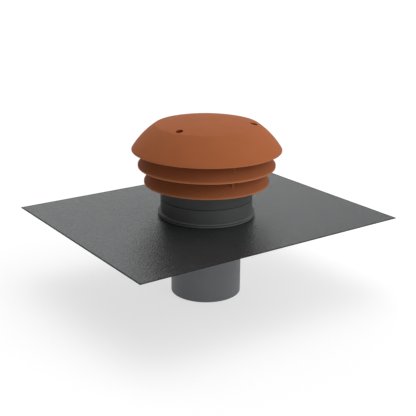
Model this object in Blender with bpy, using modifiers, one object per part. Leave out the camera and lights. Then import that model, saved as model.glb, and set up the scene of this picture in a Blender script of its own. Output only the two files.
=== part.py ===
"""Round roof vent cap: a dome over two louvre rings, on a neck, a collar, a flashing sheet and a pipe.

Metres, +Z up. The origin is the centre of the pipe's lower end. The sheet's long side runs along X.
Radii are given as steps from one piece to the next, and heights as steps from the sheet upwards.
"""

from math import acos, atan2, cos, hypot, pi, radians, sin, sqrt, tan

import bmesh
import bpy
from mathutils import Matrix

# Space left between two pieces that touch
GAP = 0.0003
# Cutters run this far past what they cut
OVERCUT = 0.005

# Pipe, with a flange inside the collar and a holding bead under the sheet
PIPE_RADIUS = 0.060
PIPE_WALL = 0.003
PIPE_DROP = 0.140
PIPE_CHAMFER = 0.0005
FLANGE_THICKNESS = 0.003
FLANGE_CLEARANCE = 0.002
BEAD_WIDTH = 0.004
BEAD_LAND = 0.002
BEAD_TAPER = 0.003

# Flashing sheet, with a shallow seat underneath for the pipe's bead
SHEET_LENGTH = 0.500
SHEET_WIDTH = 0.400
SHEET_THICKNESS = 0.0015
BEAD_SEAT_DEPTH = 0.0005
BEAD_MARGIN = 0.001

# Collar, from the sheet up to the seam
COLLAR_STEP = 0.0177
COLLAR_WALL = 0.003
COLLAR_HEIGHT = 0.0289
COLLAR_FLOOR = 0.003
FOOT_WIDTH = 0.0046
FOOT_HEIGHT = 0.0042
FOOT_ROUND = 0.0015
FOOT_FLARE = 0.002

# Neck, from the seam up to the seat of the louvre rings
NECK_HEIGHT = 0.0271
TONGUE_DEPTH = 0.010
TONGUE_WALL = 0.0025
SEAT_THICKNESS = 0.003
SEAT_MARGIN = 0.001

# Three pins on the neck pass through bosses on the rings, up into the dome
PIN_COUNT = 3
PIN_RADIUS = 0.0035
PIN_INSET = 0.0007
PIN_TURN = radians(80.5)
BOSS_WALL = 0.0022
BOSS_STAND = 0.0005

# Louvre rings
RIM_OVERHANG = 0.0273
RIM_STEP = 0.010
RIM_PITCH = 0.028
SHELL_WALL = 0.0025
LOUVRE_LIP = 0.004
LOUVRE_REACH = 0.023
LOUVRE_SLOPE = radians(46)
WEB_THICKNESS = 0.0025
WEB_SETBACK = 0.012
WEB_LIFT = 0.003

# Thin fins that stand on the rings, midway between the pins
FIN_THICKNESS = 0.0022
FIN_SETBACKS = (0.009, 0.0135)
FIN_LAND = 0.004
FIN_HEEL = 0.003
FIN_CLEARANCE = 0.0005

# Dome
DOME_LIP = 0.0016
SKIRT_RISE = 0.0403
SKIRT_BULGE = 0.003
SHOULDER_MARGIN = 0.0089
SHOULDER_ROUND = 0.010
CROWN_RISE = 0.0107
RECESS_RADIUS = 0.00575
RECESS_DEPTH = 0.014
RECESS_WALL = 0.002
RECESS_FLOOR = 0.0025
SCREW_HOLE_RADIUS = 0.0022

# Fineness of the faceted surfaces
ROUND_STEPS = 60
PIN_SIDES = 12
CROWN_STEPS = 5
SKIRT_STEPS = 4
SHOULDER_STEPS = 2
CAVITY_CROWN_STEPS = 4
CAVITY_SKIRT_STEPS = 3
SHARP_ANGLE = radians(35)

# Heights
SHEET_TOP = PIPE_DROP
SEAM_Z = SHEET_TOP + COLLAR_HEIGHT
SEAT_Z = SEAM_Z + NECK_HEIGHT
COLLAR_FLOOR_TOP = SHEET_TOP + GAP + COLLAR_FLOOR
BEAD_SEAT_Z = SHEET_TOP - SHEET_THICKNESS + BEAD_SEAT_DEPTH

# Radii
COLLAR_RADIUS = PIPE_RADIUS + COLLAR_STEP
PIN_CIRCLE = COLLAR_RADIUS - PIN_INSET
BORE_RADIUS = PIN_RADIUS + GAP
BOSS_RADIUS = BORE_RADIUS + BOSS_WALL
WELL_RADIUS = RECESS_RADIUS + RECESS_WALL


def rim_radius(level):
    """Outer radius of the ring at this level. The dome is level 2."""
    return COLLAR_RADIUS + RIM_OVERHANG + level * RIM_STEP


def rim_z(level):
    """Height of the lower edge of the rim at this level."""
    return SEAT_Z + level * RIM_PITCH


def cone_z(level, radius):
    """Height of a louvre ring's outer slope at this radius."""
    return rim_z(level) + LOUVRE_LIP + (rim_radius(level) - radius) * tan(LOUVRE_SLOPE)


def inner_radius(level):
    return rim_radius(level) - LOUVRE_REACH


def boss_top(level):
    """Height of the top of a louvre ring's bosses."""
    return cone_z(level, inner_radius(level)) + BOSS_STAND


DOME_RADIUS = rim_radius(2)
DOME_RIM_Z = rim_z(2)
SHOULDER_RADIUS = PIN_CIRCLE + SHOULDER_MARGIN
SHOULDER_Z = DOME_RIM_Z + DOME_LIP + SKIRT_RISE
CROWN_Z = SHOULDER_Z + CROWN_RISE


def crown_circle():
    """Centre and radius of the arc over the dome's top, from the axis to the shoulder."""
    radius = (SHOULDER_RADIUS**2 + CROWN_RISE**2) / (2 * CROWN_RISE)
    return (0, CROWN_Z - radius), radius


def skirt_circle():
    """Centre and radius of the arc from the shoulder to the rim, which bulges outwards."""
    run = DOME_RADIUS - SHOULDER_RADIUS
    chord = hypot(run, SKIRT_RISE)
    radius = (chord**2 / 4 + SKIRT_BULGE**2) / (2 * SKIRT_BULGE)
    depth = radius - SKIRT_BULGE
    x = (DOME_RADIUS + SHOULDER_RADIUS) / 2 - depth * SKIRT_RISE / chord
    z = SHOULDER_Z - SKIRT_RISE / 2 - depth * run / chord
    return (x, z), radius


def circles_meet(first, first_radius, second, second_radius):
    """The outer of the two points where two circles meet."""
    dx = second[0] - first[0]
    dz = second[1] - first[1]
    apart = hypot(dx, dz)
    along = (apart**2 + first_radius**2 - second_radius**2) / (2 * apart)
    across = sqrt(first_radius**2 - along**2)
    choices = []
    for side in (across, -across):
        x = first[0] + (along * dx - side * dz) / apart
        z = first[1] + (along * dz + side * dx) / apart
        choices.append((x, z))
    return max(choices)


def angle_from(centre, point):
    return atan2(point[1] - centre[1], point[0] - centre[0])


def arc(centre, radius, start, end, steps):
    """Points on an arc from one angle to another, both ends included."""
    angles = [start + (end - start) * i / steps for i in range(steps + 1)]
    return [(centre[0] + radius * cos(a), centre[1] + radius * sin(a)) for a in angles]


def dome_outside():
    """The dome's outer outline, from the axis down to the lip."""
    crown, crown_radius = crown_circle()
    skirt, skirt_radius = skirt_circle()
    turn = circles_meet(crown, crown_radius - SHOULDER_ROUND, skirt, skirt_radius - SHOULDER_ROUND)
    crown_end = angle_from(crown, turn)
    skirt_start = angle_from(skirt, turn)
    skirt_end = angle_from(skirt, (DOME_RADIUS, DOME_RIM_Z + DOME_LIP))
    points = arc(crown, crown_radius, pi / 2, crown_end, CROWN_STEPS)
    points += arc(turn, SHOULDER_ROUND, crown_end, skirt_start, SHOULDER_STEPS)[1:]
    points += arc(skirt, skirt_radius, skirt_start, skirt_end, SKIRT_STEPS)[1:]
    return points + [(DOME_RADIUS, DOME_RIM_Z)]


def dome_inside(below):
    """The outline of the hollow under the shell, from the axis down to a point below the rim."""
    crown, crown_radius = crown_circle()
    skirt, skirt_radius = skirt_circle()
    crown_radius -= SHELL_WALL
    skirt_radius -= SHELL_WALL
    corner = circles_meet(crown, crown_radius, skirt, skirt_radius)
    lip_radius = DOME_RADIUS - SHELL_WALL
    lip_angle = acos((lip_radius - skirt[0]) / skirt_radius)
    points = arc(crown, crown_radius, pi / 2, angle_from(crown, corner), CAVITY_CROWN_STEPS)
    points += arc(skirt, skirt_radius, angle_from(skirt, corner), lip_angle, CAVITY_SKIRT_STEPS)[1:]
    return points + [(lip_radius, DOME_RIM_Z - below)]


def crown_z(radius):
    """Height of the crown's outer surface at this radius."""
    centre, size = crown_circle()
    return centre[1] + sqrt(size**2 - radius**2)


def underside_z(level, radius):
    """Height of the underside over a louvre ring at this radius: the next ring's, or the dome's."""
    if level == 0:
        return cone_z(1, radius) - SHELL_WALL / cos(LOUVRE_SLOPE)
    centre, size = skirt_circle()
    return centre[1] + sqrt((size - SHELL_WALL) ** 2 - (radius - centre[0]) ** 2)


RECESS_BOTTOM = crown_z(PIN_CIRCLE) - RECESS_DEPTH
PIN_BORE_TOP = RECESS_BOTTOM - RECESS_FLOOR


def clear_scene():
    for old in list(bpy.data.objects):
        bpy.data.objects.remove(old, do_unlink=True)


def new_collection(name):
    collection = bpy.data.collections.new(name)
    bpy.context.scene.collection.children.link(collection)
    return collection


def new_material(name, colour, roughness, metallic=0.0):
    material = bpy.data.materials.new(name)
    material.use_nodes = True
    shader = material.node_tree.nodes["Principled BSDF"]
    shader.inputs["Base Color"].default_value = (*colour, 1)
    shader.inputs["Roughness"].default_value = roughness
    shader.inputs["Metallic"].default_value = metallic
    material.diffuse_color = (*colour, 1)
    return material


def add_object(name, mesh, collection):
    made = bpy.data.objects.new(name, mesh)
    collection.objects.link(made)
    return made


def hide_cutter(made):
    made.hide_render = True
    made.display_type = "WIRE"
    return made


def turned(name, outline, collection, closed):
    """A body of revolution: its outline runs down the outer side, and a Screw modifier turns it about Z."""
    mesh = bpy.data.meshes.new(name)
    edges = [(i, i + 1) for i in range(len(outline) - 1)]
    if closed:
        edges.append((len(outline) - 1, 0))
    mesh.from_pydata([(x, 0, z) for x, z in outline], edges, [])
    made = add_object(name, mesh, collection)
    screw = made.modifiers.new("turn", "SCREW")
    screw.steps = ROUND_STEPS
    screw.render_steps = ROUND_STEPS
    screw.use_merge_vertices = True
    screw.merge_threshold = 0.00001
    return made


def on_pin_circle(index, turn=0.0):
    """The turn about Z that takes +X to this pin's place, or to a place beside it."""
    return Matrix.Rotation(PIN_TURN + turn + index * 2 * pi / PIN_COUNT, 4, "Z")


def post(name, radius, low, high, index, cutters):
    """A plain upright cylinder on the pin circle."""
    mesh = bpy.data.meshes.new(name)
    form = bmesh.new()
    bmesh.ops.create_cone(
        form, cap_ends=True, segments=PIN_SIDES, radius1=radius, radius2=radius, depth=high - low
    )
    form.to_mesh(mesh)
    form.free()
    made = hide_cutter(add_object(name, mesh, cutters))
    made.matrix_world = on_pin_circle(index) @ Matrix.Translation((PIN_CIRCLE, 0, (low + high) / 2))
    return made


def radial_plate(name, outline, thickness, turn, index, cutters):
    """A flat plate that stands in a radial plane, from its outline in radius and height."""
    curve = bpy.data.curves.new(name, "CURVE")
    curve.dimensions = "2D"
    curve.fill_mode = "BOTH"
    curve.extrude = thickness / 2
    spline = curve.splines.new("POLY")
    spline.points.add(len(outline) - 1)
    spline.use_cyclic_u = True
    for point, (x, z) in zip(spline.points, outline):
        point.co = (x, z, 0, 1)
    drawn = bpy.data.objects.new(name + "_curve", curve)
    cutters.objects.link(drawn)
    bpy.context.view_layer.update()
    graph = bpy.context.evaluated_depsgraph_get()
    mesh = bpy.data.meshes.new_from_object(drawn.evaluated_get(graph))
    bpy.data.objects.remove(drawn)
    form = bmesh.new()
    form.from_mesh(mesh)
    bmesh.ops.remove_doubles(form, verts=form.verts, dist=0.00001)
    bmesh.ops.recalc_face_normals(form, faces=form.faces)
    form.to_mesh(mesh)
    form.free()
    made = hide_cutter(add_object(name, mesh, cutters))
    made.matrix_world = on_pin_circle(index, turn) @ Matrix.Rotation(pi / 2, 4, "X")
    return made


def combine(body, others, operation):
    for other in others:
        step = body.modifiers.new(other.name, "BOOLEAN")
        step.operation = operation
        step.object = other


def settle(made, material):
    """Gives an object the mesh that its modifiers make, smooth but for its real edges."""
    bpy.context.view_layer.update()
    graph = bpy.context.evaluated_depsgraph_get()
    mesh = bpy.data.meshes.new_from_object(made.evaluated_get(graph))
    made.modifiers.clear()
    made.data = mesh
    mesh.materials.clear()
    mesh.materials.append(material)
    mesh.shade_smooth()
    mesh.set_sharp_from_angle(angle=SHARP_ANGLE)
    return made


def make_pipe(parts, material):
    flange_radius = COLLAR_RADIUS - COLLAR_WALL - FLANGE_CLEARANCE
    flange_low = COLLAR_FLOOR_TOP + GAP
    top = flange_low + FLANGE_THICKNESS
    bead_top = BEAD_SEAT_Z - GAP
    bead_radius = PIPE_RADIUS + BEAD_WIDTH
    outline = [
        (flange_radius, top),
        (flange_radius, flange_low),
        (PIPE_RADIUS, flange_low),
        (PIPE_RADIUS, bead_top),
        (bead_radius, bead_top),
        (bead_radius, bead_top - BEAD_LAND),
        (PIPE_RADIUS, bead_top - BEAD_LAND - BEAD_TAPER),
        (PIPE_RADIUS, PIPE_CHAMFER),
        (PIPE_RADIUS - PIPE_CHAMFER, 0),
        (PIPE_RADIUS - PIPE_WALL, 0),
        (PIPE_RADIUS - PIPE_WALL, top),
    ]
    return settle(turned("pipe", outline, parts, closed=True), material)


def make_sheet(parts, cutters, material):
    """The flat sheet. A shallow seat round its hole, underneath, takes the pipe's bead."""
    mesh = bpy.data.meshes.new("flashing_sheet")
    form = bmesh.new()
    bmesh.ops.create_cube(form, size=1)
    bmesh.ops.scale(form, vec=(SHEET_LENGTH, SHEET_WIDTH, SHEET_THICKNESS), verts=form.verts)
    bmesh.ops.translate(form, vec=(0, 0, SHEET_TOP - SHEET_THICKNESS / 2), verts=form.verts)
    form.to_mesh(mesh)
    form.free()
    sheet = add_object("flashing_sheet", mesh, parts)
    hole_radius = PIPE_RADIUS + GAP
    seat_radius = PIPE_RADIUS + BEAD_WIDTH + BEAD_MARGIN
    hole_outline = [
        (0, SHEET_TOP + OVERCUT),
        (hole_radius, SHEET_TOP + OVERCUT),
        (hole_radius, BEAD_SEAT_Z),
        (seat_radius, BEAD_SEAT_Z),
        (seat_radius, SHEET_TOP - SHEET_THICKNESS - OVERCUT),
        (0, SHEET_TOP - SHEET_THICKNESS - OVERCUT),
    ]
    hole = hide_cutter(turned("sheet_hole", hole_outline, cutters, closed=False))
    combine(sheet, [hole], "DIFFERENCE")
    return settle(sheet, material)


def make_collar(parts, material):
    low = SHEET_TOP + GAP
    foot_radius = COLLAR_RADIUS + FOOT_WIDTH
    foot_top = low + FOOT_HEIGHT
    hole_radius = PIPE_RADIUS + GAP
    inside = COLLAR_RADIUS - COLLAR_WALL
    outline = [
        (COLLAR_RADIUS, SEAM_Z),
        (COLLAR_RADIUS, foot_top + FOOT_ROUND + FOOT_FLARE),
        (foot_radius - FOOT_ROUND, foot_top + FOOT_ROUND),
        (foot_radius, foot_top),
        (foot_radius, low),
        (hole_radius, low),
        (hole_radius, COLLAR_FLOOR_TOP),
        (inside, COLLAR_FLOOR_TOP),
        (inside, SEAM_Z),
    ]
    return settle(turned("collar", outline, parts, closed=True), material)


def make_neck(parts, cutters, material):
    low = SEAM_Z + GAP
    inside = COLLAR_RADIUS - COLLAR_WALL
    tongue_radius = inside - GAP
    tongue_inside = tongue_radius - TONGUE_WALL
    seat_low = SEAT_Z - SEAT_THICKNESS
    seat_outside = max(COLLAR_RADIUS, PIN_CIRCLE + BOSS_RADIUS) + SEAT_MARGIN
    seat_inside = min(inside, PIN_CIRCLE - BOSS_RADIUS - SEAT_MARGIN)
    outline = [
        (seat_outside, SEAT_Z),
        (seat_outside, seat_low),
        (COLLAR_RADIUS, seat_low),
        (COLLAR_RADIUS, low),
        (tongue_radius, low),
        (tongue_radius, SEAM_Z - TONGUE_DEPTH),
        (tongue_inside, SEAM_Z - TONGUE_DEPTH),
        (tongue_inside, low + COLLAR_WALL),
        (inside, low + COLLAR_WALL + TONGUE_WALL),
        (inside, seat_low),
        (seat_inside, seat_low),
        (seat_inside, SEAT_Z),
    ]
    neck = turned("neck", outline, parts, closed=True)
    root = SEAT_Z - SEAT_THICKNESS / 2
    pins = [
        post(f"pin_{i}", PIN_RADIUS, root, PIN_BORE_TOP - GAP, i, cutters) for i in range(PIN_COUNT)
    ]
    combine(neck, pins, "UNION")
    return settle(neck, material)


def web_outline(level, low):
    """The plate between a boss and the underside of its ring."""
    middle = SHELL_WALL / cos(LOUVRE_SLOPE) / 2
    far = rim_radius(level) - WEB_SETBACK
    near = inner_radius(level) + SHELL_WALL
    near_z = cone_z(level, near) - middle
    return [
        (PIN_CIRCLE, low + WEB_LIFT),
        (far, cone_z(level, far) - middle),
        (near, near_z),
        (PIN_CIRCLE, near_z),
    ]


def fin_outline(level):
    """The fin that stands on a ring and reaches up to the underside of what is over it."""
    root = SHELL_WALL / cos(LOUVRE_SLOPE) / 2
    far = rim_radius(level) - FIN_SETBACKS[level]
    land = far - FIN_LAND
    near = inner_radius(level) + SHELL_WALL
    return [
        (near, cone_z(level, near) - root),
        (far, cone_z(level, far) - root),
        (far, underside_z(level, far) - FIN_CLEARANCE),
        (land, underside_z(level, land) - FIN_CLEARANCE),
        (near, cone_z(level, near) + FIN_HEEL),
    ]


def make_louvre(name, level, parts, cutters, material):
    rim = rim_radius(level)
    low = rim_z(level)
    inside = rim - SHELL_WALL
    inner = inner_radius(level)
    drop = SHELL_WALL / cos(LOUVRE_SLOPE)
    outline = [
        (inner, cone_z(level, inner)),
        (rim, low + LOUVRE_LIP),
        (rim, low),
        (inside, low),
        (inside, cone_z(level, inside) - drop),
        (inner, cone_z(level, inner) - drop),
    ]
    louvre = turned(name, outline, parts, closed=True)
    boss_low = (boss_top(level - 1) if level else SEAT_Z) + GAP
    web = web_outline(level, boss_low)
    fin = fin_outline(level)
    halfway = pi / PIN_COUNT
    for i in range(PIN_COUNT):
        added = [
            post(f"{name}_boss_{i}", BOSS_RADIUS, boss_low, boss_top(level), i, cutters),
            radial_plate(f"{name}_web_{i}", web, WEB_THICKNESS, 0, i, cutters),
            radial_plate(f"{name}_fin_{i}", fin, FIN_THICKNESS, halfway, i, cutters),
        ]
        combine(louvre, added, "UNION")
    bores = [
        post(f"{name}_bore_{i}", BORE_RADIUS, boss_low - OVERCUT, boss_top(level) + OVERCUT, i, cutters)
        for i in range(PIN_COUNT)
    ]
    combine(louvre, bores, "DIFFERENCE")
    return settle(louvre, material)


def dome_hollow(cutters):
    """The space under the dome's shell, less the three bosses that stand in it."""
    outline = dome_inside(OVERCUT)
    outline.append((0, outline[-1][1]))
    hollow = hide_cutter(turned("dome_hollow", outline, cutters, closed=False))
    low = boss_top(1) + GAP
    high = CROWN_Z + OVERCUT
    bosses = [post(f"dome_boss_{i}", WELL_RADIUS, low, high, i, cutters) for i in range(PIN_COUNT)]
    combine(hollow, bosses, "DIFFERENCE")
    return hollow


def make_dome(parts, cutters, material):
    outline = dome_outside()
    outline.append((0, DOME_RIM_Z))
    dome = turned("dome", outline, parts, closed=False)
    combine(dome, [dome_hollow(cutters)], "DIFFERENCE")
    low = boss_top(1) - OVERCUT
    hole_low = PIN_BORE_TOP - OVERCUT
    hole_high = RECESS_BOTTOM + OVERCUT
    for i in range(PIN_COUNT):
        cuts = [
            post(f"recess_{i}", RECESS_RADIUS, RECESS_BOTTOM, CROWN_Z + OVERCUT, i, cutters),
            post(f"pin_bore_{i}", BORE_RADIUS, low, PIN_BORE_TOP, i, cutters),
            post(f"screw_hole_{i}", SCREW_HOLE_RADIUS, hole_low, hole_high, i, cutters),
        ]
        combine(dome, cuts, "DIFFERENCE")
    return settle(dome, material)


def main():
    clear_scene()
    parts = new_collection("roof_vent_cap")
    cutters = new_collection("cutters")
    terracotta = new_material("terracotta_plastic", (0.42, 0.13, 0.05), 0.5)
    collar_grey = new_material("dark_grey_plastic", (0.045, 0.05, 0.05), 0.5)
    pipe_grey = new_material("pipe_plastic", (0.11, 0.12, 0.13), 0.5)
    sheet_grey = new_material("embossed_sheet", (0.06, 0.06, 0.065), 0.4)
    make_pipe(parts, pipe_grey)
    make_sheet(parts, cutters, sheet_grey)
    make_collar(parts, collar_grey)
    make_neck(parts, cutters, collar_grey)
    make_louvre("lower_louvre", 0, parts, cutters, terracotta)
    make_louvre("upper_louvre", 1, parts, cutters, terracotta)
    make_dome(parts, cutters, terracotta)


main()
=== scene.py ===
"""Looks of the roof vent cap: fine turned pieces, their finishes, a pale studio and the camera.

Metres, +Z up. Each piece stands for its CAD node and takes its outer sizes from it.
"""

from math import acos, atan2, copysign, cos, hypot, pi, radians, sin, sqrt, tan

import bmesh
import bpy
from mathutils import Matrix, Vector


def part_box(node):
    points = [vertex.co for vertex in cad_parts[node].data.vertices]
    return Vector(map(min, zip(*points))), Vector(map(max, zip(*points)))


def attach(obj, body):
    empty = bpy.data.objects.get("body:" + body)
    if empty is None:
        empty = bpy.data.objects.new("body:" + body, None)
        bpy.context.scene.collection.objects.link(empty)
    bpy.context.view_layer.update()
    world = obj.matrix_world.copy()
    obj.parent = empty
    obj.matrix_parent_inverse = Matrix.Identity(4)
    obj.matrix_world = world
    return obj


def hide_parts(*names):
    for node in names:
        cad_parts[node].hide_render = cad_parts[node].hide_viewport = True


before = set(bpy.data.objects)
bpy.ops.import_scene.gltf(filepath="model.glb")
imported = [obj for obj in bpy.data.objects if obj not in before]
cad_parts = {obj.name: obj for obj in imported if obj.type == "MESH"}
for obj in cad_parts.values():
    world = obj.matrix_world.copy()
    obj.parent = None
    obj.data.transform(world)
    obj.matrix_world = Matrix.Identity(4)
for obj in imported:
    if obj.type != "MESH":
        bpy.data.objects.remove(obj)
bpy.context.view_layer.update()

# Heights and outer sizes, read from the frame
SHEET_LOW, SHEET_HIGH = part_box("flashing_sheet")
COLLAR_LOW, COLLAR_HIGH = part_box("collar")
NECK_LOW, NECK_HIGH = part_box("neck")
PIPE_LOW, PIPE_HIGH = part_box("pipe")
DOME_LOW, DOME_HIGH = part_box("dome")
LOUVRE_BOXES = [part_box("lower_louvre"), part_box("upper_louvre")]

# Clearance between pieces, reach of a cutter past what it cuts, tolerance of a comparison
GAP = 0.0003
OVERCUT = 0.005
TINY = 0.00001

# Edge roundings
CRISP = 0.0004
SLIGHT = 0.0005
EASED = 0.0006
SOFT = 0.0008
FULL = 0.001

# Flashing sheet
SHEET_TOP = SHEET_HIGH.z
SHEET_EDGE = 0.0006
SHEET_UNDERCUT = 0.0028
SHEET_CORNER = 0.0008

# Pipe
PIPE_RADIUS = 0.060
PIPE_WALL = 0.003
FLANGE_THICKNESS = 0.003
BEAD_WIDTH = 0.004
BEAD_LAND = 0.002
BEAD_TAPER = 0.003
BEAD_MARGIN = 0.001
BEAD_SEAT_DEPTH = 0.0005
BEAD_SEAT_Z = SHEET_LOW.z + BEAD_SEAT_DEPTH

# Collar
COLLAR_RADIUS = 0.0777
COLLAR_WALL = 0.003
COLLAR_FLOOR = 0.003
SEAM_Z = COLLAR_HIGH.z
SEAM_ROUND = 0.0003
SEAM_WIDTH = 0.0009
FOOT_RADIUS = COLLAR_HIGH.x
FOOT_LOW_RING = 0.0026
FOOT_GROOVE = 0.0012
FOOT_GROOVE_DEPTH = 0.0030
FOOT_TOP = 0.0058
FOOT_FLARE = 0.0012

# Neck
TONGUE_WALL = 0.0025
SEAT_THICKNESS = 0.003
SEAT_MARGIN = 0.001

# Pins, bosses, webs and fins
PIN_COUNT = 3
PIN_RADIUS = 0.0035
PIN_INSET = 0.0007
PIN_CIRCLE = COLLAR_RADIUS - PIN_INSET
PIN_TURN = radians(80.5)
BORE_RADIUS = PIN_RADIUS + GAP
BOSS_WALL = 0.0022
BOSS_RADIUS = BORE_RADIUS + BOSS_WALL
BOSS_STAND = 0.0005
WEB_THICKNESS = 0.0025
WEB_SETBACK = 0.012
WEB_LIFT = 0.003
FIN_THICKNESS = 0.0022
FIN_SETBACKS = (0.009, 0.0135)
FIN_LAND = 0.004
FIN_HEEL = 0.003
FIN_CLEARANCE = 0.0005

# Louvre rings
SHELL_WALL = 0.0025
LOUVRE_LIP = 0.004
LOUVRE_REACH = 0.023
LOUVRE_SLOPE = radians(46)
LOUVRE_SHOULDER_ROUND = 0.002

# Dome
DOME_RADIUS = DOME_HIGH.x
DOME_RIM_Z = DOME_LOW.z
CROWN_Z = DOME_HIGH.z
DOME_LIP = 0.0016
SKIRT_RISE = 0.0403
SKIRT_BULGE = 0.003
SHOULDER_OUTSET = 0.0089
SHOULDER_RADIUS = PIN_CIRCLE + SHOULDER_OUTSET
SHOULDER_ROUND = 0.010
CROWN_RISE = 0.0107
SHOULDER_Z = CROWN_Z - CROWN_RISE
RECESS_RADIUS = 0.0060
RECESS_DEPTH = 0.014
RECESS_FLOOR = 0.0025
RECESS_ROUND = 0.0003
DOME_BOSS_RADIUS = 0.00775
SCREW_HOLE_RADIUS = 0.0022

# Finishes: each pair of tones is the darker and the lighter one that a surface drifts between
COVER_TONES = ((0.385, 0.112, 0.035), (0.405, 0.118, 0.039))
# The rings are the cover's plastic; their tones are darker than the cover's as painted shade under the
# dome
SHADED_RING_TONES = ((0.340, 0.099, 0.032), (0.360, 0.105, 0.036))
DARK_GREY_TONES = ((0.098, 0.104, 0.101), (0.106, 0.112, 0.109))
PIPE_TONES = ((0.126, 0.133, 0.140), (0.137, 0.144, 0.152))
SHEET_TONES = ((0.032, 0.033, 0.034), (0.036, 0.037, 0.038))
TERRACOTTA_ROUGHNESS = 0.85
TERRACOTTA_SPECULAR = 0.25
GREY_ROUGHNESS = 0.5
DARK_GREY_SPECULAR = 0.15
PIPE_SPECULAR = 0.27
SHEET_ROUGHNESS = 0.2
SHEET_SPECULAR = 0.42
SHEET_SHEEN = (0.85, 0.97, 1.0)

# Painted highlights along round edges: tone, and reach from the edge
COVER_EDGE_HIGHLIGHT = (0.43, 0.140, 0.058)
RING_EDGE_HIGHLIGHT = (0.48, 0.176, 0.076)
FOOT_EDGE_HIGHLIGHT = (0.170, 0.176, 0.173)
COVER_HIGHLIGHT_REACH = 0.0024
RING_HIGHLIGHT_REACH = 0.0030
FOOT_HIGHLIGHT_REACH = 0.0018

# Painted shade in the screw wells, and the sheet's dull border darkened with painted shade
WELL_SHADE_TONE = (0.30, 0.042, 0.003)
BORDER_SHADE_TONE = (0.006, 0.006, 0.006)
BORDER_ROUGHNESS = 0.9
BORDER_WIDTH = 0.0020
BORDER_FADE = 0.0003

# Grain: noise scales in features per metre, depths in metres
NOISE_MIDDLE = (0.3, 0.7)
TONE_SCALE = 22
SHEEN_SCALE = 60
SHEEN_DRIFT = 0.04
SPARK_SCALE = 1800
SPARK_DEPTH = 0.00004
SPARK_STRENGTH = 0.6
SHEET_TONE_SCALE = 14
HAMMER_SCALE = 350
HAMMER_DEPTH = 0.001

# Fineness
ROUND_STEPS = 240
PIN_STEPS = 32
FILLET_STEPS = 4
BEVEL_STEPS = 3
PLATE_BEVEL_STEPS = 2
CROWN_STEPS = 24
SKIRT_STEPS = 20
SHOULDER_STEPS = 6
BACKDROP_STEPS = 96
SHARP_ANGLE = radians(40)
NEARLY_HALF = 0.49

# Studio light: broad glows, each (azimuth, elevation, sharpness, strength). Azimuth is in
# degrees from -Y towards +X. The camera stands at -35.
GLOWS = [
    (0, 90, 10, 2.50),
    (30, 30, 10, 2.53),
    (90, 33, 30, 1.84),
    (120, 8, 10, 0.32),
    (120, 21, 30, 0.21),
    (150, 8, 10, 0.59),
    (150, 33, 30, 1.25),
    (150, 60, 30, 1.25),
    (180, 12, 30, 1.24),
    (180, 33, 30, 1.38),
    (210, 21, 30, 0.27),
    (330, 8, 10, 0.64),
]
FLOOR_TONE = 0.45
FLOOR_GLOW = 0.62
FLOOR_REACH = 30
STAGE_ROUGHNESS = 0.9


def rim_radius(level):
    """Outer radius of a louvre ring. The lower ring is level 0."""
    return LOUVRE_BOXES[level][1].x


def rim_z(level):
    return LOUVRE_BOXES[level][0].z


def cone_z(level, radius):
    """Height of a louvre ring's outer slope at this radius."""
    return rim_z(level) + LOUVRE_LIP + (rim_radius(level) - radius) * tan(LOUVRE_SLOPE)


def inner_radius(level):
    return rim_radius(level) - LOUVRE_REACH


def boss_top(level):
    return cone_z(level, inner_radius(level)) + BOSS_STAND


def crown_circle():
    """Centre and radius of the arc over the dome's top."""
    radius = (SHOULDER_RADIUS**2 + CROWN_RISE**2) / (2 * CROWN_RISE)
    return (0, CROWN_Z - radius), radius


def skirt_circle():
    """Centre and radius of the arc from the dome's shoulder to its rim."""
    run = DOME_RADIUS - SHOULDER_RADIUS
    chord = hypot(run, SKIRT_RISE)
    radius = (chord**2 / 4 + SKIRT_BULGE**2) / (2 * SKIRT_BULGE)
    depth = radius - SKIRT_BULGE
    x = (DOME_RADIUS + SHOULDER_RADIUS) / 2 - depth * SKIRT_RISE / chord
    z = SHOULDER_Z - SKIRT_RISE / 2 - depth * run / chord
    return (x, z), radius


def circles_meet(first, first_radius, second, second_radius):
    """The outer of the two points where two circles meet."""
    dx = second[0] - first[0]
    dz = second[1] - first[1]
    apart = hypot(dx, dz)
    along = (apart**2 + first_radius**2 - second_radius**2) / (2 * apart)
    across = sqrt(first_radius**2 - along**2)
    choices = []
    for side in (across, -across):
        x = first[0] + (along * dx - side * dz) / apart
        z = first[1] + (along * dz + side * dx) / apart
        choices.append((x, z))
    return max(choices)


def angle_from(centre, point):
    return atan2(point[1] - centre[1], point[0] - centre[0])


def arc(centre, radius, start, end, steps):
    angles = [start + (end - start) * i / steps for i in range(steps + 1)]
    return [(centre[0] + radius * cos(a), centre[1] + radius * sin(a)) for a in angles]


def crown_z(radius):
    """Height of the crown's outer surface at this radius."""
    centre, size = crown_circle()
    return centre[1] + sqrt(size**2 - radius**2)


def underside_z(level, radius):
    """Height of the underside over a louvre ring at this radius."""
    if level == 0:
        return cone_z(1, radius) - SHELL_WALL / cos(LOUVRE_SLOPE)
    centre, size = skirt_circle()
    return centre[1] + sqrt((size - SHELL_WALL) ** 2 - (radius - centre[0]) ** 2)


def rounded(corners):
    """A closed outline from its corners, each (radius from the axis, height, rounding)."""
    points = []
    count = len(corners)
    for i, (x, z, rounding) in enumerate(corners):
        here = Vector((x, z))
        before = Vector(corners[i - 1][:2]) - here
        after = Vector(corners[(i + 1) % count][:2]) - here
        if rounding == 0:
            points.append((x, z))
            continue
        half = before.angle(after) / 2
        reach = min(rounding / tan(half), before.length * NEARLY_HALF, after.length * NEARLY_HALF)
        size = reach * tan(half)
        start = here + before.normalized() * reach
        end = here + after.normalized() * reach
        centre = here + (before.normalized() + after.normalized()).normalized() * (size / sin(half))
        first = angle_from(centre, start)
        turn = (angle_from(centre, end) - first + pi) % (2 * pi) - pi
        points += arc(centre, size, first, first + turn, FILLET_STEPS)
    return points


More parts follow.
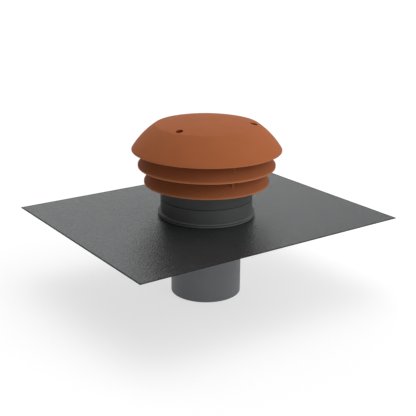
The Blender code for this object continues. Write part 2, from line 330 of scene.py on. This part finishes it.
# The lower ring's rim hangs level with the neck's seat
SEAT_Z = rim_z(0)
RECESS_BOTTOM = crown_z(PIN_CIRCLE) - RECESS_DEPTH
PIN_BORE_TOP = RECESS_BOTTOM - RECESS_FLOOR


def add_object(name, mesh):
    made = bpy.data.objects.new(name, mesh)
    bpy.context.scene.collection.objects.link(made)
    return made


def object_from(name, form):
    """An object with a bmesh's form. The bmesh is freed."""
    mesh = bpy.data.meshes.new(name)
    form.to_mesh(mesh)
    form.free()
    return add_object(name, mesh)


def rise(edge):
    """Height difference between an edge's ends."""
    return abs(edge.verts[0].co.z - edge.verts[1].co.z)


def soften(form, edges, width, steps):
    """Rounds off these edges of a bmesh."""
    bmesh.ops.bevel(form, geom=edges, offset=width, segments=steps, profile=0.5, affect="EDGES")


def turned(name, outline, closed=True):
    """A body of revolution. Its outline runs down the outer side."""
    mesh = bpy.data.meshes.new(name)
    edges = [(i, i + 1) for i in range(len(outline) - 1)]
    if closed:
        edges.append((len(outline) - 1, 0))
    mesh.from_pydata([(x, 0, z) for x, z in outline], edges, [])
    made = add_object(name, mesh)
    screw = made.modifiers.new("turn", "SCREW")
    screw.steps = ROUND_STEPS
    screw.render_steps = ROUND_STEPS
    screw.use_merge_vertices = True
    screw.merge_threshold = TINY
    return made


def on_pin_circle(index, turn=0.0):
    """Turns what stands on the X axis to the place of this pin, and further by this turn."""
    return Matrix.Rotation(PIN_TURN + turn + index * 2 * pi / PIN_COUNT, 4, "Z")


def post(name, radius, low, high, index, bevel=0.0):
    """A plain upright cylinder on the pin circle."""
    form = bmesh.new()
    bmesh.ops.create_cone(
        form, cap_ends=True, segments=PIN_STEPS, radius1=radius, radius2=radius, depth=high - low
    )
    if bevel:
        rims = [e for e in form.edges if rise(e) < TINY]
        soften(form, rims, bevel, BEVEL_STEPS)
    made = object_from(name, form)
    made.matrix_world = on_pin_circle(index) @ Matrix.Translation((PIN_CIRCLE, 0, (low + high) / 2))
    return made


def well_cutter(index):
    """Cuts a screw well, with the screw hole and the pin's bore under it.

    The well's softened mouth follows the crown.
    """
    corner = (RECESS_RADIUS + RECESS_ROUND, -RECESS_ROUND)
    mouth = arc(corner, RECESS_ROUND, pi / 2, pi, FILLET_STEPS)
    sloped = [(0, OVERCUT), (mouth[0][0], OVERCUT)] + mouth
    outline = [(x, z, True) for x, z in sloped]
    outline += [
        (RECESS_RADIUS, RECESS_BOTTOM, False),
        (SCREW_HOLE_RADIUS, RECESS_BOTTOM, False),
        (SCREW_HOLE_RADIUS, PIN_BORE_TOP, False),
        (BORE_RADIUS, PIN_BORE_TOP, False),
        (BORE_RADIUS, boss_top(1) - OVERCUT, False),
        (0, boss_top(1) - OVERCUT, False),
    ]
    form = bmesh.new()
    rings = []
    for radius, height, follows in outline:
        ring = []
        for i in range(PIN_STEPS if radius else 1):
            turn = 2 * pi * i / PIN_STEPS
            x = PIN_CIRCLE + radius * cos(turn)
            y = radius * sin(turn)
            z = height + crown_z(hypot(x, y)) if follows else height
            ring.append(form.verts.new((x, y, z)))
        rings.append(ring)
    for upper, lower in zip(rings, rings[1:]):
        for i in range(PIN_STEPS):
            j = (i + 1) % PIN_STEPS
            around = [(upper, i), (lower, i), (lower, j), (upper, j)]
            corners = [points[k % len(points)] for points, k in around]
            form.faces.new(list(dict.fromkeys(corners)))
    bmesh.ops.recalc_face_normals(form, faces=form.faces)
    made = object_from(f"well_{index}", form)
    made.matrix_world = on_pin_circle(index)
    return made


def radial_plate(name, outline, thickness, turn, index):
    """A flat plate with softened edges that stands in a radial plane."""
    form = bmesh.new()
    face = form.faces.new([form.verts.new((x, -thickness / 2, z)) for x, z in outline])
    grown = bmesh.ops.extrude_face_region(form, geom=[face])["geom"]
    moved = [v for v in grown if isinstance(v, bmesh.types.BMVert)]
    bmesh.ops.translate(form, vec=(0, thickness, 0), verts=moved)
    bmesh.ops.recalc_face_normals(form, faces=form.faces)
    soften(form, form.edges[:], CRISP, PLATE_BEVEL_STEPS)
    made = object_from(name, form)
    made.matrix_world = on_pin_circle(index, turn)
    return made


def combine(body, others, operation):
    for other in others:
        step = body.modifiers.new(other.name, "BOOLEAN")
        step.operation = operation
        step.solver = "MANIFOLD"
        step.object = other


def settle(made, helpers, material, node):
    """Applies a piece's modifiers, removes its helpers and lets it stand for its CAD node."""
    bpy.context.view_layer.update()
    graph = bpy.context.evaluated_depsgraph_get()
    mesh = bpy.data.meshes.new_from_object(made.evaluated_get(graph))
    made.modifiers.clear()
    made.data = mesh
    for helper in helpers:
        bpy.data.objects.remove(helper)
    mesh.materials.clear()
    mesh.materials.append(material)
    mesh.shade_smooth()
    mesh.set_sharp_from_angle(angle=SHARP_ANGLE)
    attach(made, "root")
    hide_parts(node)


def make_pipe(material):
    flange_radius = PIPE_HIGH.x
    top = PIPE_HIGH.z
    bead_top = BEAD_SEAT_Z - GAP
    bead_radius = PIPE_RADIUS + BEAD_WIDTH
    inside = PIPE_RADIUS - PIPE_WALL
    corners = [
        (flange_radius, top, EASED),
        (flange_radius, top - FLANGE_THICKNESS, CRISP),
        (PIPE_RADIUS, top - FLANGE_THICKNESS, 0),
        (PIPE_RADIUS, bead_top, 0),
        (bead_radius, bead_top, SLIGHT),
        (bead_radius, bead_top - BEAD_LAND, SOFT),
        (PIPE_RADIUS, bead_top - BEAD_LAND - BEAD_TAPER, FULL),
        (PIPE_RADIUS, PIPE_LOW.z, SLIGHT),
        (inside, PIPE_LOW.z, SLIGHT),
        (inside, top, SOFT),
    ]
    settle(turned("pipe_tube", rounded(corners)), [], material, "pipe")


def make_sheet(material):
    """The sheet, its underside cut back along the border so that its edge looks thin."""
    form = bmesh.new()
    bmesh.ops.create_cube(form, size=1)
    bmesh.ops.scale(form, vec=SHEET_HIGH - SHEET_LOW, verts=form.verts)
    bmesh.ops.translate(form, vec=(SHEET_HIGH + SHEET_LOW) / 2, verts=form.verts)
    uprights = [e for e in form.edges if rise(e) > TINY]
    soften(form, uprights, SHEET_CORNER, BEVEL_STEPS)
    edge_low = SHEET_TOP - SHEET_EDGE
    everything = form.verts[:] + form.edges[:] + form.faces[:]
    bmesh.ops.bisect_plane(form, geom=everything, plane_co=(0, 0, edge_low), plane_no=(0, 0, 1))
    for vert in form.verts:
        if vert.co.z < edge_low - TINY:
            vert.co.x -= copysign(SHEET_UNDERCUT, vert.co.x)
            vert.co.y -= copysign(SHEET_UNDERCUT, vert.co.y)
    sheet = object_from("sheet_face", form)
    hole_radius = PIPE_RADIUS + GAP
    seat_radius = PIPE_RADIUS + BEAD_WIDTH + BEAD_MARGIN
    hole_outline = [
        (0, SHEET_TOP + OVERCUT),
        (hole_radius, SHEET_TOP + OVERCUT),
        (hole_radius, BEAD_SEAT_Z),
        (seat_radius, BEAD_SEAT_Z),
        (seat_radius, SHEET_LOW.z - OVERCUT),
        (0, SHEET_LOW.z - OVERCUT),
    ]
    hole = turned("sheet_hole", hole_outline, closed=False)
    combine(sheet, [hole], "DIFFERENCE")
    settle(sheet, [hole], material, "flashing_sheet")


def make_collar(material):
    low = COLLAR_LOW.z
    inside = COLLAR_RADIUS - COLLAR_WALL
    hole_radius = PIPE_RADIUS + GAP
    floor_top = low + COLLAR_FLOOR
    groove = FOOT_RADIUS - FOOT_GROOVE_DEPTH
    groove_low = low + FOOT_LOW_RING
    corners = [
        (COLLAR_RADIUS, SEAM_Z, SEAM_ROUND),
        (COLLAR_RADIUS, low + FOOT_TOP + FOOT_FLARE, CRISP),
        (FOOT_RADIUS, low + FOOT_TOP, SLIGHT),
        (FOOT_RADIUS, groove_low + FOOT_GROOVE, SLIGHT),
        (groove, groove_low + FOOT_GROOVE, 0),
        (groove, groove_low, 0),
        (FOOT_RADIUS, groove_low, SLIGHT),
        (FOOT_RADIUS, low, CRISP),
        (hole_radius, low, 0),
        (hole_radius, floor_top, CRISP),
        (inside, floor_top, FULL),
        (inside, SEAM_Z, SEAM_ROUND),
    ]
    settle(turned("collar_base", rounded(corners)), [], material, "collar")


def make_neck(material):
    inside = COLLAR_RADIUS - COLLAR_WALL
    shoulder = SEAM_Z + GAP + COLLAR_WALL
    tongue_radius = inside - GAP
    tongue_inside = tongue_radius - TONGUE_WALL
    seat_low = SEAT_Z - SEAT_THICKNESS
    seat_outside = NECK_HIGH.x
    seat_inside = min(inside, PIN_CIRCLE - BOSS_RADIUS - SEAT_MARGIN)
    corners = [
        (seat_outside, SEAT_Z, EASED),
        (seat_outside, seat_low, EASED),
        (COLLAR_RADIUS, seat_low, FULL),
        (COLLAR_RADIUS, SEAM_Z + SEAM_WIDTH, SEAM_ROUND),
        (tongue_radius, SEAM_Z + SEAM_WIDTH, 0),
        (tongue_radius, NECK_LOW.z, SLIGHT),
        (tongue_inside, NECK_LOW.z, SLIGHT),
        (tongue_inside, shoulder, FULL),
        (inside, shoulder + TONGUE_WALL, FULL),
        (inside, seat_low, SOFT),
        (seat_inside, seat_low, EASED),
        (seat_inside, SEAT_Z, EASED),
    ]
    neck = turned("neck_sleeve", rounded(corners))
    root = SEAT_Z - SEAT_THICKNESS / 2
    pins = [post(f"pin_{i}", PIN_RADIUS, root, PIN_BORE_TOP - GAP, i, SLIGHT) for i in range(PIN_COUNT)]
    combine(neck, pins, "UNION")
    settle(neck, pins, material, "neck")


def web_outline(level, low):
    """The plate between a boss and the underside of its ring."""
    middle = SHELL_WALL / cos(LOUVRE_SLOPE) / 2
    far = rim_radius(level) - WEB_SETBACK
    near = inner_radius(level) + SHELL_WALL
    near_z = cone_z(level, near) - middle
    return [
        (PIN_CIRCLE, low + WEB_LIFT),
        (far, cone_z(level, far) - middle),
        (near, near_z),
        (PIN_CIRCLE, near_z),
    ]


def fin_outline(level):
    """The fin that stands on a ring and reaches up to the underside of what is over it."""
    root = SHELL_WALL / cos(LOUVRE_SLOPE) / 2
    far = rim_radius(level) - FIN_SETBACKS[level]
    land = far - FIN_LAND
    near = inner_radius(level) + SHELL_WALL
    return [
        (near, cone_z(level, near) - root),
        (far, cone_z(level, far) - root),
        (far, underside_z(level, far) - FIN_CLEARANCE),
        (land, underside_z(level, land) - FIN_CLEARANCE),
        (near, cone_z(level, near) + FIN_HEEL),
    ]


def make_louvre(node, level, material):
    rim = rim_radius(level)
    low = rim_z(level)
    inside = rim - SHELL_WALL
    inner = inner_radius(level)
    drop = SHELL_WALL / cos(LOUVRE_SLOPE)
    corners = [
        (inner, cone_z(level, inner), EASED),
        (rim, low + LOUVRE_LIP, LOUVRE_SHOULDER_ROUND),
        (rim, low, CRISP),
        (inside, low, EASED),
        (inside, cone_z(level, inside) - drop, FULL),
        (inner, cone_z(level, inner) - drop, EASED),
    ]
    louvre = turned(node + "_ring", rounded(corners))
    boss_low = (boss_top(level - 1) if level else SEAT_Z) + GAP
    web = web_outline(level, boss_low)
    fin = fin_outline(level)
    halfway = pi / PIN_COUNT
    added = []
    bores = []
    for i in range(PIN_COUNT):
        added += [
            post(f"boss_{i}", BOSS_RADIUS, boss_low, boss_top(level), i),
            radial_plate(f"web_{i}", web, WEB_THICKNESS, 0, i),
            radial_plate(f"fin_{i}", fin, FIN_THICKNESS, halfway, i),
        ]
        bores.append(post(f"bore_{i}", BORE_RADIUS, boss_low - OVERCUT, boss_top(level) + OVERCUT, i))
    combine(louvre, added, "UNION")
    combine(louvre, bores, "DIFFERENCE")
    settle(louvre, added + bores, material, node)


def dome_outside():
    """The dome's outer outline, from the axis down to the rounded lip."""
    crown, crown_radius = crown_circle()
    skirt, skirt_radius = skirt_circle()
    turn = circles_meet(crown, crown_radius - SHOULDER_ROUND, skirt, skirt_radius - SHOULDER_ROUND)
    crown_end = angle_from(crown, turn)
    skirt_start = angle_from(skirt, turn)
    skirt_end = angle_from(skirt, (DOME_RADIUS, DOME_RIM_Z + DOME_LIP))
    points = arc(crown, crown_radius, pi / 2, crown_end, CROWN_STEPS)
    points += arc(turn, SHOULDER_ROUND, crown_end, skirt_start, SHOULDER_STEPS)[1:]
    points += arc(skirt, skirt_radius, skirt_start, skirt_end, SKIRT_STEPS)[1:]
    lip = (DOME_RADIUS - CRISP, DOME_RIM_Z + CRISP)
    return points + arc(lip, CRISP, 0, -pi / 2, FILLET_STEPS)


def dome_inside():
    """The outline of the hollow under the shell, from the axis down past the rim."""
    crown, crown_radius = crown_circle()
    skirt, skirt_radius = skirt_circle()
    crown_radius -= SHELL_WALL
    skirt_radius -= SHELL_WALL
    corner = circles_meet(crown, crown_radius, skirt, skirt_radius)
    lip_radius = DOME_RADIUS - SHELL_WALL
    lip_angle = acos((lip_radius - skirt[0]) / skirt_radius)
    points = arc(crown, crown_radius, pi / 2, angle_from(crown, corner), CROWN_STEPS)
    points += arc(skirt, skirt_radius, angle_from(skirt, corner), lip_angle, SKIRT_STEPS)[1:]
    return points + [(lip_radius, DOME_RIM_Z - OVERCUT), (0, DOME_RIM_Z - OVERCUT)]


def make_dome(material):
    dome = turned("dome_shell", dome_outside() + [(0, DOME_RIM_Z)], closed=False)
    hollow = turned("hollow", dome_inside(), closed=False)
    low = boss_top(1) + GAP
    high = CROWN_Z + OVERCUT
    bosses = [post(f"dome_boss_{i}", DOME_BOSS_RADIUS, low, high, i) for i in range(PIN_COUNT)]
    combine(hollow, bosses, "DIFFERENCE")
    combine(dome, [hollow], "DIFFERENCE")
    cuts = [well_cutter(i) for i in range(PIN_COUNT)]
    combine(dome, cuts, "DIFFERENCE")
    settle(dome, [hollow] + bosses + cuts, material, "dome")


def wired(tree, kind, operation, values):
    """A node for a sum. Each value is a socket to link or a fixed number or vector."""
    node = tree.nodes.new(kind)
    node.operation = operation
    for socket, value in zip(node.inputs, values):
        if isinstance(value, bpy.types.NodeSocket):
            tree.links.new(value, socket)
        else:
            socket.default_value = value
    return node


def maths(tree, operation, *values):
    return wired(tree, "ShaderNodeMath", operation, values).outputs["Value"]


def vector_maths(tree, operation, *values, result="Vector"):
    return wired(tree, "ShaderNodeVectorMath", operation, values).outputs[result]


class Finish:
    """A Principled material, with helpers that add procedural nodes to it."""

    def __init__(self, name, roughness, specular):
        self.material = bpy.data.materials.new(name)
        self.material.use_nodes = True
        self.tree = self.material.node_tree
        self.shader = self.tree.nodes["Principled BSDF"]
        self.shader.inputs["Roughness"].default_value = roughness
        self.shader.inputs["Specular IOR Level"].default_value = specular
        self.place = self.add("ShaderNodeTexCoord").outputs["Object"]

    def add(self, kind, **inputs):
        node = self.tree.nodes.new(kind)
        for name, value in inputs.items():
            node.inputs[name].default_value = value
        return node

    def link(self, start, end):
        self.tree.links.new(start, end)

    def noise(self, scale, detail=2.0):
        node = self.add("ShaderNodeTexNoise", Scale=scale, Detail=detail)
        self.link(self.place, node.inputs["Vector"])
        return node.outputs["Fac"]

    def ramp(self, factor, stops):
        node = self.add("ShaderNodeValToRGB")
        elements = node.color_ramp.elements
        for element, (position, colour) in zip(elements, stops):
            element.position = position
            element.color = (*colour, 1)
        self.link(factor, node.inputs["Fac"])
        return node.outputs["Color"]

    def map_range(self, value, before, after=(0, 1)):
        """Maps a value from one range to another and holds it at the ends."""
        node = self.add("ShaderNodeMapRange")
        for name, number in zip(("From Min", "From Max", "To Min", "To Max"), (*before, *after)):
            node.inputs[name].default_value = number
        self.link(value, node.inputs["Value"])
        return node.outputs["Result"]

    def bump(self, height, distance, strength=1.0):
        node = self.add("ShaderNodeBump", Strength=strength, Distance=distance)
        self.link(height, node.inputs["Height"])
        self.link(node.outputs["Normal"], self.shader.inputs["Normal"])

    def mottle(self, scale, tones):
        """Gives the base colour a slow drift between two near tones."""
        stops = list(zip(NOISE_MIDDLE, tones))
        self.link(self.ramp(self.noise(scale), stops), self.shader.inputs["Base Color"])

    def distance(self, start, point):
        """Distance from a vector socket to a fixed point."""
        return vector_maths(self.tree, "DISTANCE", start, point, result="Value")

    def in_plan(self):
        """The place on the surface, dropped to height zero."""
        return vector_maths(self.tree, "MULTIPLY", self.place, (1, 1, 0))

    def parts(self, vector):
        """The outputs X, Y and Z of a vector socket."""
        node = self.add("ShaderNodeSeparateXYZ")
        self.link(vector, node.inputs[0])
        return node.outputs

    def from_axes(self, axes):
        """Distance in plan from the nearest of some upright axes."""
        plan = self.in_plan()
        nearest = self.distance(plan, axes[0])
        for axis in axes[1:]:
            nearest = maths(self.tree, "MINIMUM", nearest, self.distance(plan, axis))
        return nearest

    def from_ring(self, radius, height):
        """Distance from a level circle round the object's axis."""
        section = self.add("ShaderNodeCombineXYZ")
        self.link(self.distance(self.in_plan(), (0, 0, 0)), section.inputs["X"])
        self.link(self.parts(self.place)["Z"], section.inputs["Y"])
        return self.distance(section.outputs["Vector"], (radius, height, 0))

    def from_border(self, high):
        """Distance outwards, in plan, from the nearest side of a rectangle with this corner.

        Inside the rectangle it is below zero.
        """
        mirrored = vector_maths(self.tree, "ABSOLUTE", self.place)
        past = self.parts(vector_maths(self.tree, "SUBTRACT", mirrored, high))
        return maths(self.tree, "MAXIMUM", past["X"], past["Y"])

    def tint(self, distance, start, end, colour):
        """Turns the base colour into another one as the distance goes from start to end."""
        mix = self.tree.nodes.new("ShaderNodeMix")
        mix.data_type = "RGBA"
        base = self.shader.inputs["Base Color"]
        # As RGBA the node takes its factor at 0 and its colours at 6 and 7, and gives its result at 2
        self.link(self.map_range(distance, (start, end)), mix.inputs[0])
        self.link(base.links[0].from_socket, mix.inputs[6])
        mix.inputs[7].default_value = (*colour, 1)
        self.link(mix.outputs[2], base)

    def paint_well_shade(self, colour):
        """Paints shade on the walls of the screw wells, where the deep recess lies in shade."""
        axes = [on_pin_circle(i) @ Vector((PIN_CIRCLE, 0, 0)) for i in range(PIN_COUNT)]
        self.tint(self.from_axes(axes), RECESS_RADIUS + RECESS_ROUND, RECESS_RADIUS, colour)

    def paint_edge_highlight(self, radius, height, reach, colour):
        """Paints a highlight along a round edge, which fades out at this reach from it."""
        self.tint(self.from_ring(radius, height), reach, reach / 2, colour)

    def set_roughness(self, value):
        self.link(value, self.shader.inputs["Roughness"])


def moulded_plastic(name, tones, roughness, specular):
    """Matt moulded plastic: a slow drift of tone and sheen, and a fine spark-eroded grain."""
    finish = Finish("moulded_" + name, roughness, specular)
    finish.mottle(TONE_SCALE, tones)
    spread = (roughness - SHEEN_DRIFT, roughness + SHEEN_DRIFT)
    finish.set_roughness(finish.map_range(finish.noise(SHEEN_SCALE), NOISE_MIDDLE, spread))
    finish.bump(finish.noise(SPARK_SCALE, detail=3), SPARK_DEPTH, SPARK_STRENGTH)
    return finish


def embossed_sheet():
    """Dark lacquered sheet with a fine hammered grain, and a duller border darkened with painted shade.
    """
    finish = Finish("hammered_sheet", SHEET_ROUGHNESS, SHEET_SPECULAR)
    finish.shader.inputs["Specular Tint"].default_value = (*SHEET_SHEEN, 1)
    finish.mottle(SHEET_TONE_SCALE, SHEET_TONES)
    border = finish.from_border(SHEET_HIGH)
    fade = (-BORDER_WIDTH - BORDER_FADE, -BORDER_WIDTH)
    # Painted shade darkens the sheet's border and cut edge
    finish.tint(border, *fade, BORDER_SHADE_TONE)
    finish.set_roughness(finish.map_range(border, fade, (SHEET_ROUGHNESS, BORDER_ROUGHNESS)))
    finish.bump(finish.noise(HAMMER_SCALE, detail=1), HAMMER_DEPTH)
    return finish.material


def make_camera():
    """The photograph's viewpoint, solved from the sheet's corners and the round rims."""
    distance = 1.3518
    height = 0.4574
    yaw = radians(35.216)
    pan = radians(-0.121)
    pitch = radians(18.382)
    roll = radians(-0.555)
    camera = bpy.data.objects.new("camera", bpy.data.cameras.new("camera"))
    bpy.context.scene.collection.objects.link(camera)
    camera.data.lens = 72.51
    camera.data.sensor_width = 36
    camera.rotation_mode = "QUATERNION"
    camera.location = (-distance * sin(yaw), -distance * cos(yaw), SHEET_TOP + height)
    turn = Matrix.Rotation(pan - yaw, 3, "Z") @ Matrix.Rotation(-pitch, 3, "X")
    turn = turn @ Matrix.Rotation(roll, 3, "Y") @ Matrix.Rotation(pi / 2, 3, "X")
    camera.rotation_quaternion = turn.to_quaternion()
    bpy.context.scene.camera = camera


def make_stage(name, form, tone, glow):
    """A plain piece of the studio, with a grey tone and a white glow of its own."""
    made = object_from(name, form)
    finish = Finish("pale_" + name, STAGE_ROUGHNESS, specular=0)
    finish.shader.inputs["Base Color"].default_value = (tone, tone, tone, 1)
    finish.shader.inputs["Emission Color"].default_value = (1, 1, 1, 1)
    finish.shader.inputs["Emission Strength"].default_value = glow
    made.data.materials.append(finish.material)
    return made


def make_floor():
    """A wide, pale, plain floor."""
    form = bmesh.new()
    bmesh.ops.create_grid(form, x_segments=1, y_segments=1, size=FLOOR_REACH)
    make_stage("floor", form, FLOOR_TONE, FLOOR_GLOW)


def make_backdrop():
    """A white wall all round where the floor ends. It lights nothing and blocks no light."""
    form = bmesh.new()
    reach = FLOOR_REACH
    bmesh.ops.create_cone(form, segments=BACKDROP_STEPS, radius1=reach, radius2=reach, depth=reach)
    bmesh.ops.translate(form, vec=(0, 0, reach / 2), verts=form.verts)
    wall = make_stage("backdrop", form, tone=0, glow=1)
    wall.visible_diffuse = False
    wall.visible_glossy = False
    wall.visible_transmission = False
    wall.visible_volume_scatter = False
    wall.visible_shadow = False


def make_world():
    """A soft studio all round: broad glows that have no edges, on black."""
    world = bpy.data.worlds.new("studio")
    bpy.context.scene.world = world
    world.use_nodes = True
    tree = world.node_tree
    direction = tree.nodes.new("ShaderNodeTexCoord").outputs["Generated"]
    total = 0
    for azimuth, elevation, sharpness, strength in GLOWS:
        turn = radians(azimuth)
        lift = radians(elevation)
        towards = (sin(turn) * cos(lift), -cos(turn) * cos(lift), sin(lift))
        facing = vector_maths(tree, "DOT_PRODUCT", direction, towards, result="Value")
        narrowed = maths(tree, "POWER", maths(tree, "MAXIMUM", facing, 0), sharpness)
        total = maths(tree, "MULTIPLY_ADD", narrowed, strength, total)
    background = tree.nodes["Background"]
    background.inputs["Color"].default_value = (1, 1, 1, 1)
    tree.links.new(total, background.inputs["Strength"])
    bpy.context.scene.view_settings.view_transform = "Standard"


def main():
    cover = moulded_plastic("cover", COVER_TONES, TERRACOTTA_ROUGHNESS, TERRACOTTA_SPECULAR)
    # A painted highlight along the dome's rim
    cover.paint_edge_highlight(DOME_RADIUS, DOME_RIM_Z, COVER_HIGHLIGHT_REACH, COVER_EDGE_HIGHLIGHT)
    # Painted shade on the walls of the screw wells
    cover.paint_well_shade(WELL_SHADE_TONE)
    make_dome(cover.material)
    for level, node in enumerate(("lower_louvre", "upper_louvre")):
        # The rings take darker tones than the cover: painted shade under the dome
        ring = moulded_plastic(node, SHADED_RING_TONES, TERRACOTTA_ROUGHNESS, TERRACOTTA_SPECULAR)
        # A painted highlight along each ring's rim
        ring.paint_edge_highlight(rim_radius(level), rim_z(level), RING_HIGHLIGHT_REACH, RING_EDGE_HIGHLIGHT)
        make_louvre(node, level, ring.material)
    dark_grey = moulded_plastic("dark_grey", DARK_GREY_TONES, GREY_ROUGHNESS, DARK_GREY_SPECULAR)
    # Painted highlights along the two rings of the collar's foot
    for height in (FOOT_TOP, FOOT_LOW_RING):
        dark_grey.paint_edge_highlight(FOOT_RADIUS, COLLAR_LOW.z + height, FOOT_HIGHLIGHT_REACH, FOOT_EDGE_HIGHLIGHT)
    make_collar(dark_grey.material)
    make_neck(dark_grey.material)
    pipe_grey = moulded_plastic("pipe_grey", PIPE_TONES, GREY_ROUGHNESS, PIPE_SPECULAR)
    make_pipe(pipe_grey.material)
    make_sheet(embossed_sheet())
    make_floor()
    make_backdrop()
    make_world()
    make_camera()


main()
